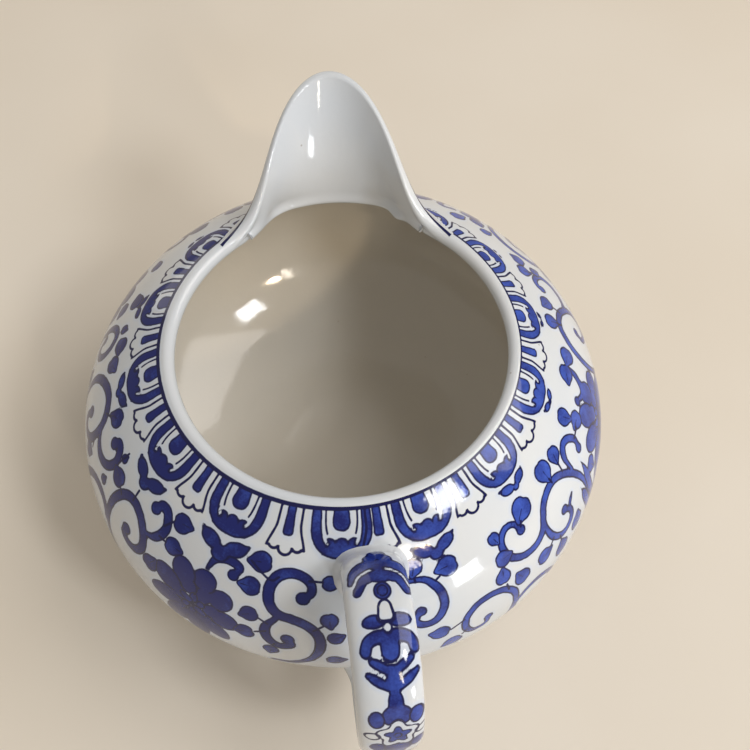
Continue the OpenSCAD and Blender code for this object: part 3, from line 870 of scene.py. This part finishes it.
def print_spout(ink, below_edge):
    """A rim line under the edge, and a spray of leaves and two scrolls up the front."""
    ink.add("line", np.arange(len(below_edge)), np.abs(below_edge + 0.75) - 0.32)
    for side in (-1, 1):
        ink.stroke([(side * x, y) for x, y in SPRAY_SCROLL], 1.3, knob=0.85)
        ink.stroke([(side * x, y) for x, y in SPRAY_STALK], STALK_WIDTH, layer="line")
        for x, y, size, turn in SPRAY_LEAVES:
            ink.leaf(side * x, y, size, side * turn)
    ink.stroke([(0, 4.4), (0, 9), (0, 16)], STALK_WIDTH, layer="line")
    ink.leaf(0, 3.4, 1.9, 0)


def spout_ink(column, row):
    profile, below_edge = spout_profile(column, row)
    across = profile[:, 0] * np.radians(spout_azimuth(column))
    ink = Print(across, below_edge, 1.0)
    print_spout(ink, below_edge)
    outside = (row > 1.5) & (row <= WALL_ROWS + EDGE_ROWS / 2)
    for values in ink.layers.values():
        values[~outside] = Print.FAR
    return ink


spout = skin(
    "spout_glazed", spout_surface, SPOUT_COLUMNS, int(SPOUT_STOPS[-1]), levels=3,
    needs_split=print_needs_split(spout_ink), fields=lambda c, r: spout_ink(c, r).layers, close="rows",
)
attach(spout, "root")
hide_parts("spout")

# ---- The sill: the bead of slip over the throat's cut edge, with one drip in it ----------------------

SILL_END = 42.0
SILL_COLUMNS, SILL_ROWS = 84, 12
SILL_ROLL = 2.4  # how far down the inside the bead reaches
DRIP_AZIMUTH, DRIP_WIDTH, DRIP_PROUD = 21.0, 3.2, 1.1


def sill_surface(column, row):
    azimuth = SILL_END * (2 * column / SILL_COLUMNS - 1)
    f = row / SILL_ROWS
    _, _, lean, _, _, _, inner_edge, start = spout_section(azimuth)
    fall = np.linalg.norm(inner_edge - start, axis=-1, keepdims=True)
    run_in = unit(start - inner_edge + 0.55 * fall * direction(lean) + 1e-6 * (outer[-1] - outer[0]))
    share = sill_share(azimuth)[..., None]
    end_s = shoulder_s(sill_point(azimuth)[..., 0]) + SILL_ROLL
    normal = unit(along(outer_normal, outer_s, end_s))
    end = along(outer, outer_s, end_s) - (WALL + GLAZE_LIFT) * normal
    back_up = -unit(along(outer_tangent, outer_s, end_s))
    roll = share * (SEAM_BEAD + 1.2) + (1 - share) * 0.4
    curve = bezier([start, start + roll * run_in, end + (roll + 0.4 * share) * back_up, end], f)
    drip = DRIP_PROUD * np.exp(-(((azimuth - DRIP_AZIMUTH) / DRIP_WIDTH) ** 2)) * np.sin(math.pi * f) ** 2
    return on_azimuth(curve + drip[..., None] * np.array([-0.8, -0.45]), azimuth)


sill = skin("sill_glazed", sill_surface, SILL_COLUMNS, SILL_ROWS, close="rows")
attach(sill, "root")
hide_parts("spout_seam")

# ---- The handle --------------------------------------------------------------------------------------

UPPER_ROOT_R = 38.6
STRAP_TURN = np.array([HANDLE_REACH - STRAP_T / 2, 38.0])
BELLY_ROOT = np.array([46.4, 18.4])
shoulder_root = shoulder_point(UPPER_ROOT_R)
upper_run = [shoulder_root, np.array([UPPER_ROOT_R + 1.4, LIP_Z + 4.5]), STRAP_TURN + [-1, 20], STRAP_TURN]
lower_run = [STRAP_TURN, STRAP_TURN - [0, 14], BELLY_ROOT + [8.6, -2.9], BELLY_ROOT]
UPPER_END, LOWER_END = 0.05, 0.94  # the stretch of the strap's line between its two slip joints
STRAP_COLUMNS, STRAP_ROWS = 24, 40
ROUNDNESS = 2.5


def strap_centre(t):
    upper, lower = bezier(upper_run, np.clip(2 * t, 0, 1)), bezier(lower_run, np.clip(2 * t - 1, 0, 1))
    return np.where((t < 0.5)[..., None], upper, lower)


strap_t = np.linspace(0, 1, 800)
strap_lengths = arc_lengths(strap_centre(strap_t))


def signed_power(v, e):
    return np.sign(v) * np.abs(v) ** e


def strap_ring(t, turn, flare=1.0):
    """Point of the strap's rounded-oblong section, as [side, distance from the axis, height]."""
    centre = strap_centre(t)
    d = unit(strap_centre(np.minimum(t + 0.002, 1)) - strap_centre(np.maximum(t - 0.002, 0)))
    width = STRAP_W + STRAP_SWELL * np.sin(math.pi * t**0.6)
    side = flare * width / 2 * signed_power(np.cos(turn), 2 / ROUNDNESS)
    lift = flare * STRAP_T / 2 * signed_power(np.sin(turn), 2 / ROUNDNESS)
    place = centre + lift[..., None] * np.stack([-d[..., 1], d[..., 0]], -1)
    return np.concatenate([side[..., None], place], -1)


def from_handle_plane(place):
    """Places [side, distance from the axis, height] as points, with the strap's own turn about the axis."""
    a = math.radians(HANDLE_TURN)
    side, r, z = place[..., 0], place[..., 1], place[..., 2]
    return np.stack([math.cos(a) * side + math.sin(a) * r, math.sin(a) * side - math.cos(a) * r, z], -1)


def column_turn(column):
    return 2 * math.pi * column / STRAP_COLUMNS


def strap_along(row):
    return UPPER_END + (LOWER_END - UPPER_END) * row / STRAP_ROWS


def handle_surface(column, row):
    return from_handle_plane(strap_ring(strap_along(row), column_turn(column)))


HANDLE_PRINT_CENTRE = 0.7  # the strap's print sits a little to the right
BLOSSOM_W = 31.0  # distance of the middle blossom along the strap


def print_handle(ink):
    """A chain of motifs either way from a blossom at the strap's turn, each the same left and right."""
    for way in (-1, 1):
        print_chain(ink, way)
    m = HANDLE_PRINT_CENTRE
    found, x, y = ink.near(m, BLOSSOM_W, 5, 5)
    angle, radius = np.arctan2(x, -y), np.hypot(x, y)
    lobed = radius - 2.8 - 0.45 * np.cos(5 * angle)
    ink.clear(found, lobed)
    ink.add("line", found, np.abs(lobed) - 0.17)
    ink.add("front", found, radius - 1.75 - 0.45 * np.cos(5 * angle))
    ink.add("line", found, np.abs(radius - 0.55) - 0.13)
    for side in (-1, 1):
        found, x, y = ink.near(m + 3.7 * side, BLOSSOM_W, 2, 2)
        ink.add("line", found, np.abs(oval_distance(x, y, 1.1, 0.8)) - 0.17)


def print_chain(ink, way):
    """The motifs on one side of the blossom, placed by their distance from it."""
    m = HANDLE_PRINT_CENTRE

    def stroke(places, width, **settings):
        ink.stroke([(m + x, BLOSSOM_W + way * h) for x, h in places], width, **settings)

    def oval(x, h, half_width, half_height, layer="back"):
        ink.oval(m + x, BLOSSOM_W + way * h, half_width, half_height, layer=layer)

    # Pod with side lobes
    oval(0, 4.0, 2.3, 1.9)
    oval(0, 6.0, 1.2, 2.0)
    for side in (-1, 1):
        oval(side * 2.95, 3.5, 1.25, 1.6, "front")
    # Two pairs of arms on a stout stem
    oval(0, 8.9, 1.15, 2.0)
    for side in (-1, 1):
        stroke([(0, 7.9), (side * 1.8, 8.7), (side * 3.5, 9.75)], 1.4, taper=(1, 0.7))
        stroke([(0, 9.8), (side * 1.5, 10.6), (side * 2.8, 11.3)], 1.35, taper=(1, 0.8))
    # Ram's horns, with a spike between them
    stroke([(0, 13.7), (0, 12.8), (0, 11.75)], 2.9, taper=(1, 0.05))
    for side in (-1, 1):
        stroke([(0, 13.9), (side * 1.7, 14.0), (side * 3.0, 13.5), (side * 3.5, 12.5)], 1.8)
    # Spread leaves with a seed between them, and the bell and bead over them
    for side in (-1, 1):
        oval(side * 1.9, 15.8, 1.75, 0.95, "front")
    found, x, y = ink.near(m, BLOSSOM_W + way * 15.0, 1, 1)
    ink.clear(found, np.hypot(x, y) - 0.5)
    ink.add("line", found, np.abs(np.hypot(x, y) - 0.6) - 0.14)
    found, x, y = ink.near(m, BLOSSOM_W + way * 17.1, 2, 2)
    bell = box_distance(x, y, 1.0 - 0.2 * way * np.clip(y, -1.2, 1.2), 1.35, 0.8)
    ink.clear(found, bell)
    ink.add("line", found, np.abs(bell) - 0.2)
    oval(0, 19.7, 1.35, 1.35, "front")
    found, x, y = ink.near(m, BLOSSOM_W + way * 19.7, 1, 1)
    ink.add("line", found, np.abs(np.hypot(x, y) - 0.75) - 0.13)
    # Palmette: a clover on two pairs of drooping leaves, with a light thread between the pairs
    for x, h, r in ((0, 26.6, 1.5), (-1.1, 25.4, 1.2), (1.1, 25.4, 1.2)):
        oval(x, h, r, r)
    oval(0, 23.0, 2.6, 2.2)
    for side in (-1, 1):
        stroke([(0, 23.6), (side * 2.2, 24.0), (side * 3.5, 23.2), (side * 4.2, 21.8)], 2.2, taper=(1, 0.7))
        stroke([(side * 0.8, 21.8), (side * 2.6, 21.6), (side * 3.6, 19.9)], 1.9, taper=(0.6, 0.8))
        path = smooth_path(np.array([(0.9, 23.2), (1.9, 22.9), (3.2, 22.2), (4.1, 20.8)]))
        found, x, y = ink.near(m + 2.5 * side, BLOSSOM_W + way * 22, 3, 3)
        place = (side * (x + 2.5 * side))[:, None], (way * y + 22)[:, None]
        ink.clear(found, path_distances(*place, *path.T)[0].min(axis=1) - 0.17)


def strap_ink(t, turn, side):
    ink = Print(side, np.interp(t, strap_t, strap_lengths), 1.0)
    print_handle(ink)
    for values in ink.layers.values():
        values[np.sin(turn) < 0.05] = Print.FAR
    return ink


def handle_ink(column, row):
    t, turn = strap_along(row), column_turn(column)
    return strap_ink(t, turn, strap_ring(t, turn)[:, 0])


def handle_bake(column, row, face_column, face_row):
    """Lays the strap out flat."""
    gap = BAKE_GAP
    u, v = gap + (1 - 2 * gap) * column / STRAP_COLUMNS, gap + (1 - 2 * gap) * row / STRAP_ROWS
    return np.stack([u, v], -1)


handle = skin(
    "handle_glazed", handle_surface, STRAP_COLUMNS, STRAP_ROWS, wrap=True, levels=3,
    needs_split=print_needs_split(handle_ink), fields=lambda c, r: handle_ink(c, r).layers, close="caps",
    bake=handle_bake,
)
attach(handle, "root")
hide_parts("handle")

# The slip joints at the strap's two ends: each flares from the strap's section on to the bowl
JOINT_ROWS = 14
UPPER_FOOTPRINT, LOWER_FOOTPRINT = (6.1, 4.3), (5.9, 4.3)
FOOTPRINT_SINK = 0.2


def upper_footprint(turn):
    x = UPPER_FOOTPRINT[0] * signed_power(np.cos(turn), 0.9)
    y = UPPER_ROOT_R - UPPER_FOOTPRINT[1] * signed_power(np.sin(turn), 0.9)
    return np.stack([x, y, shoulder_point(np.hypot(x, y))[..., 1] - FOOTPRINT_SINK], -1)


def lower_footprint(turn):
    x = LOWER_FOOTPRINT[0] * signed_power(np.cos(turn), 0.9)
    z = BELLY_ROOT[1] - LOWER_FOOTPRINT[1] * signed_power(np.sin(turn), 0.9)
    r = BODY_R * np.sqrt(1 - ((BELLY_Z - z) / BELLY_DROP) ** 2) - FOOTPRINT_SINK
    return np.stack([x, np.sqrt(r**2 - x**2), z], -1)


def joint_skin(name, end_t, root_t, footprint):
    """A joint, on to which the strap's print runs on a little way."""

    def place(column, row):
        turn, f = column_turn(column), row / JOINT_ROWS
        ring = strap_ring(end_t + (root_t - end_t) * f, turn, 1 + 0.25 * f**2)
        share = (f**2.2)[..., None]
        return ring * (1 - share) + footprint(turn) * share

    def ink(column, row):
        t = end_t + (root_t - end_t) * row / JOINT_ROWS
        return strap_ink(t, column_turn(column), place(column, row)[:, 0])

    joint = skin(
        name, lambda column, row: from_handle_plane(place(column, row)), STRAP_COLUMNS, JOINT_ROWS, wrap=True,
        levels=3, needs_split=print_needs_split(ink), fields=lambda c, r: ink(c, r).layers, close="caps",
    )
    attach(joint, "root")
    return joint


upper_joint = joint_skin("upper_joint_glazed", UPPER_END, 0.0, upper_footprint)
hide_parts("handle_upper_joint")
lower_joint = joint_skin("lower_joint_glazed", LOWER_END, 1.0, lower_footprint)
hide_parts("handle_lower_joint")

# ---- The foot ring -----------------------------------------------------------------------------------

FOOT_COLUMNS = 144
foot_profile = smooth_path(
    np.array([
        (LAND_INNER_R - 1.3, BASE_Z + 0.3), (LAND_INNER_R - 0.7, 1.3), (LAND_INNER_R - 0.1, 0.25),
        ((LAND_INNER_R + LAND_OUTER_R) / 2, 0), (LAND_OUTER_R + 0.1, 0.25), (LAND_OUTER_R + 0.6, 1.2),
        (LAND_OUTER_R + 0.9, BASE_Z - 0.4), (LAND_OUTER_R + 2.1, BASE_Z + 1.0),
    ])
)
foot_lengths = arc_lengths(foot_profile)
FOOT_ROWS = 30
BARE_BELOW = 0.45  # height under which the glaze was wiped off


def foot_section(row):
    return along(foot_profile, foot_lengths, row / FOOT_ROWS * foot_lengths[-1])


def foot_surface(column, row):
    return on_azimuth(foot_section(row), column / FOOT_COLUMNS * 360)


foot = skin(
    "foot_turned", foot_surface, FOOT_COLUMNS, FOOT_ROWS, wrap=True,
    fields=lambda column, row: {"height": foot_section(row)[:, 1]},
)
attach(foot, "root")
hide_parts("foot_ring")

# ---- Materials ---------------------------------------------------------------------------------------

WHITE_GLAZE = (0.66, 0.68, 0.70)
COOL_GLAZE = (0.60, 0.65, 0.72)
# Painted shade: the darker, warmer white that the bowl's inside is mixed towards, for the shade in it
INSIDE_PAINTED_SHADE = (0.66, 0.59, 0.47)
BARE_CLAY = (0.70, 0.64, 0.55)
COBALT_LINE = (0.003, 0.004, 0.06)
COBALT_DEEP = (0.006, 0.012, 0.14)
COBALT_WASH = (0.045, 0.10, 0.50)
HALO = (0.50, 0.60, 0.84)


class Shader:
    """A material with one Principled node, and short names for the nodes that lead to it."""

    def __init__(self, name):
        self.material = bpy.data.materials.new(name)
        self.material.use_nodes = True
        self.tree = self.material.node_tree
        self.principled = self.tree.nodes["Principled BSDF"]

    def node(self, kind, inputs=(), **settings):
        node = self.tree.nodes.new("ShaderNode" + kind)
        for key, value in settings.items():
            setattr(node, key, value)
        for key, value in dict(inputs).items():
            self.set(node.inputs[key], value)
        return node

    def set(self, socket, value):
        if isinstance(value, bpy.types.NodeSocket):
            self.tree.links.new(value, socket)
        elif isinstance(value, tuple) and len(value) == 3 and socket.type == "RGBA":
            socket.default_value = (*value, 1)
        else:
            socket.default_value = value

    def math(self, operation, a, b=0.0):
        return self.node("Math", {0: a, 1: b}, operation=operation).outputs[0]

    def ramp(self, value, low, high):
        """0 at low and 1 at high, smoothly."""
        inputs = {"Value": value, "From Min": low, "From Max": high}
        return self.node("MapRange", inputs, interpolation_type="SMOOTHSTEP").outputs["Result"]

    def mix(self, share, a, b):
        node = self.node("Mix", {0: share}, data_type="RGBA")
        self.set(node.inputs[6], a)
        self.set(node.inputs[7], b)
        return node.outputs[2]

    def noise(self, scale, detail=2.0, roughness=0.5):
        """Noise from 0 to 1 with about `scale` cells in a metre."""
        place = self.node("TexCoord").outputs["Object"]
        inputs = {"Vector": place, "Scale": scale, "Detail": detail, "Roughness": roughness}
        return self.node("TexNoise", inputs).outputs["Fac"]

    def value(self, attribute):
        return self.node("Attribute", attribute_name=attribute).outputs["Fac"]

    def bump(self, height, distance, strength=1.0, under=None):
        inputs = {"Height": height, "Distance": distance, "Strength": strength}
        if under:
            inputs["Normal"] = under
        return self.node("Bump", inputs).outputs["Normal"]


def glaze_surface(shader):
    """The clear coat of glaze: a hard gloss with a slow ripple and a fine orange peel under it."""
    ripple = shader.bump(shader.noise(70, 1.0), 0.0006, 0.35)
    peel = shader.bump(shader.noise(900, 1.0), 0.00004, 0.35, under=ripple)
    shader.set(shader.principled.inputs["Normal"], peel)
    smear = shader.ramp(shader.noise(140, 3.0), 0.35, 0.75)
    roughness = shader.math("ADD", 0.075, shader.math("MULTIPLY", smear, 0.05))
    shader.set(shader.principled.inputs["Roughness"], roughness)
    shader.principled.inputs["IOR"].default_value = 1.52
    return shader


def glaze_white(shader):
    """White porcelain under glaze, with slow shifts between cooler and plainer whites, and a few specks."""
    tone = shader.ramp(shader.noise(45, 2.0), 0.3, 0.7)
    white = shader.mix(shader.math("MULTIPLY", tone, 0.5), WHITE_GLAZE, COOL_GLAZE)
    specks = shader.node("TexVoronoi", {"Vector": shader.node("TexCoord").outputs["Object"], "Scale": 130.0})
    speck = shader.ramp(specks.outputs["Distance"], 0.035, 0.02)
    return shader.mix(shader.math("MULTIPLY", speck, 0.5), white, (0.25, 0.2, 0.16))


def printed_glaze(name):
    """White glaze with the blue print: washes with dark outlines, fine lines, a slight halo round them, and
    painted light and shade that make the washes lighter on the right and darker on the left.
    """
    shader = glaze_surface(Shader(name))
    colour = glaze_white(shader)
    wobble = shader.math("MULTIPLY", shader.math("SUBTRACT", shader.noise(900, 2.0), 0.5), 0.22)
    tone = shader.ramp(shader.noise(320, 3.0), 0.32, 0.7)
    grain = shader.math("MULTIPLY", shader.math("SUBTRACT", shader.noise(2600, 1.0), 0.5), 0.5)
    x = shader.node("SeparateXYZ", {0: shader.node("TexCoord").outputs["Object"]}).outputs["X"]
    # Painted light and shade: the washes are mixed lighter on the right, towards the lamps, and darker on the
    # left, in shade. These are places in metres
    painted_light_by_side = shader.math("SUBTRACT", shader.math("MULTIPLY", shader.ramp(x, -0.03, 0.035), 0.7), 0.3)
    wash_share = shader.math("ADD", shader.math("MULTIPLY", tone, 0.55), shader.math("ADD", grain, painted_light_by_side))
    nearest = shader.math("MINIMUM", shader.value("back"), shader.value("front"))
    halo = shader.math("MULTIPLY", shader.ramp(nearest, 0.8, 0.0), 0.35)
    colour = shader.mix(halo, colour, HALO)
    for layer, deeper in (("back", 0.12), ("front", 0.0)):
        distance = shader.math("ADD", shader.value(layer), wobble)
        share = shader.math("SUBTRACT", wash_share, deeper)
        wash = shader.mix(share, COBALT_DEEP, COBALT_WASH)
        outlined = shader.mix(shader.ramp(distance, -0.42, -0.2), wash, COBALT_LINE)
        colour = shader.mix(shader.ramp(distance, 0.07, -0.07), colour, outlined)
    line = shader.math("ADD", shader.value("line"), shader.math("MULTIPLY", wobble, 0.5))
    colour = shader.mix(shader.ramp(line, 0.08, -0.06), colour, COBALT_LINE)
    shader.set(shader.principled.inputs["Base Color"], colour)
    return shader


def bowl_material():
    shader = printed_glaze("printed_porcelain_glaze")
    print_colour = shader.principled.inputs["Base Color"].links[0].from_socket
    # Painted shade: the inside, as the inside field marks it, is mixed most of the way towards a darker,
    # warmer white
    warm = shader.math("MULTIPLY", shader.value("inside"), 0.7)
    shader.set(shader.principled.inputs["Base Color"], shader.mix(warm, print_colour, INSIDE_PAINTED_SHADE))
    return shader.material


def white_material():
    shader = glaze_surface(Shader("white_porcelain_glaze"))
    shader.set(shader.principled.inputs["Base Color"], glaze_white(shader))
    return shader.material


def foot_material():
    """Glazed sides and a bare, slightly stained land."""
    shader = glaze_surface(Shader("foot_porcelain_glaze"))
    edge = shader.math("ADD", shader.value("height"), shader.math("MULTIPLY", shader.noise(500, 2.0), 0.3))
    bare = shader.ramp(edge, BARE_BELOW + 0.25, BARE_BELOW + 0.05)
    clay = shader.mix(shader.ramp(shader.noise(900, 4.0), 0.4, 0.7), BARE_CLAY, (0.5, 0.44, 0.37))
    shader.set(shader.principled.inputs["Base Color"], shader.mix(bare, glaze_white(shader), clay))
    roughness = shader.math("ADD", 0.09, shader.math("MULTIPLY", bare, 0.6))
    shader.set(shader.principled.inputs["Roughness"], roughness)
    return shader.material


strap_material = printed_glaze("handle_porcelain_glaze").material
for piece, material in (
    (bowl, bowl_material()),
    (spout, printed_glaze("spout_porcelain_glaze").material),
    (handle, strap_material),
    (sill, white_material()),
    (upper_joint, strap_material),
    (lower_joint, strap_material),
    (foot, foot_material()),
):
    piece.data.materials.append(material)

# ---- Stage: floor, light and camera ------------------------------------------------------------------


FLOOR_DARK, FLOOR_LIGHT = (0.76, 0.68, 0.57), (0.80, 0.73, 0.63)


def floor_material():
    shader = Shader("pale_floor")
    tone = shader.ramp(shader.noise(9, 3.0), 0.3, 0.7)
    shader.set(shader.principled.inputs["Base Color"], shader.mix(tone, FLOOR_DARK, FLOOR_LIGHT))
    shader.principled.inputs["Roughness"].default_value = 0.9
    return shader.material


bpy.ops.mesh.primitive_plane_add(size=3.0, location=(0, 0, 0))
floor = bpy.context.object
floor.name = "pale_floor"
floor.data.materials.append(floor_material())


def area_light(name, azimuth, elevation, distance, size, power, colour):
    """A soft box that looks at the jug from an azimuth and elevation."""
    target = Vector((0, 0, BELLY_Z * MM))
    a, e = math.radians(azimuth), math.radians(elevation)
    toward = Vector((math.sin(a) * math.cos(e), math.cos(a) * math.cos(e), math.sin(e)))
    data = bpy.data.lights.new(name, "AREA")
    data.shape, data.size, data.size_y = "RECTANGLE", *size
    data.energy, data.color = power, colour
    lamp = bpy.data.objects.new(name, data)
    bpy.context.scene.collection.objects.link(lamp)
    lamp.location = target + toward * distance
    lamp.rotation_euler = toward.to_track_quat("Z", "Y").to_euler()


area_light("window", 142, 3, 0.7, (0.11, 0.14), 0.9, (0.90, 0.95, 1.0))
area_light("upper_window", 131, 47, 0.9, (0.16, 0.16), 1.9, (0.96, 0.98, 1.0))
area_light("skylight", 85, 50, 1.3, (0.9, 0.9), 8.0, (1.0, 0.96, 0.92))
area_light("warm_lamp", 157, 30, 1.0, (0.05, 0.24), 0.8, (1.0, 0.90, 0.76))
area_light("room", -25, 18, 1.4, (1.0, 0.7), 2.2, (1.0, 0.93, 0.84))

# A warm beam through the mouth on to the far wall
beam_data = bpy.data.lights.new("warm_beam", "SPOT")
beam_data.spot_size, beam_data.spot_blend = math.radians(4.2), 0.8
beam_data.shadow_soft_size, beam_data.energy, beam_data.color = 0.03, 6.5, (1.0, 0.80, 0.55)
beam = bpy.data.objects.new("warm_beam", beam_data)
bpy.context.scene.collection.objects.link(beam)
BEAM_FROM, BEAM_TO = Vector((198, -325, 294)) * MM, Vector((-6, 40, 22)) * MM
beam.location = BEAM_FROM
beam.rotation_euler = (BEAM_FROM - BEAM_TO).to_track_quat("Z", "Y").to_euler()

world = bpy.data.worlds.new("soft_room")
bpy.context.scene.world = world
world.use_nodes = True
world.node_tree.nodes["Background"].inputs["Color"].default_value = (1.0, 0.95, 0.88, 1)
world.node_tree.nodes["Background"].inputs["Strength"].default_value = 0.36

CAMERA_AT = Vector((-1.2, -94.4, 199.5)) * MM
CAMERA_HEADING, CAMERA_PITCH, CAMERA_ROLL = (math.radians(v) for v in (4.2, 59.6, 0.8))
forward = Vector((
    math.sin(CAMERA_HEADING) * math.cos(CAMERA_PITCH),
    math.cos(CAMERA_HEADING) * math.cos(CAMERA_PITCH),
    -math.sin(CAMERA_PITCH),
))
right = Vector((math.cos(CAMERA_HEADING), -math.sin(CAMERA_HEADING), 0))
up = right.cross(forward)
rolled_right = math.cos(CAMERA_ROLL) * right + math.sin(CAMERA_ROLL) * up
rolled_up = math.cos(CAMERA_ROLL) * up - math.sin(CAMERA_ROLL) * right
camera_data = bpy.data.cameras.new("camera")
camera_data.lens, camera_data.sensor_width, camera_data.clip_start = 50.1, 36.0, 0.01
camera = bpy.data.objects.new("camera", camera_data)
bpy.context.scene.collection.objects.link(camera)
facing = Matrix((rolled_right, rolled_up, -forward)).transposed().to_4x4()
camera.matrix_world = Matrix.Translation(CAMERA_AT) @ facing
bpy.context.scene.camera = camera

bpy.context.scene.view_settings.view_transform = "Standard"
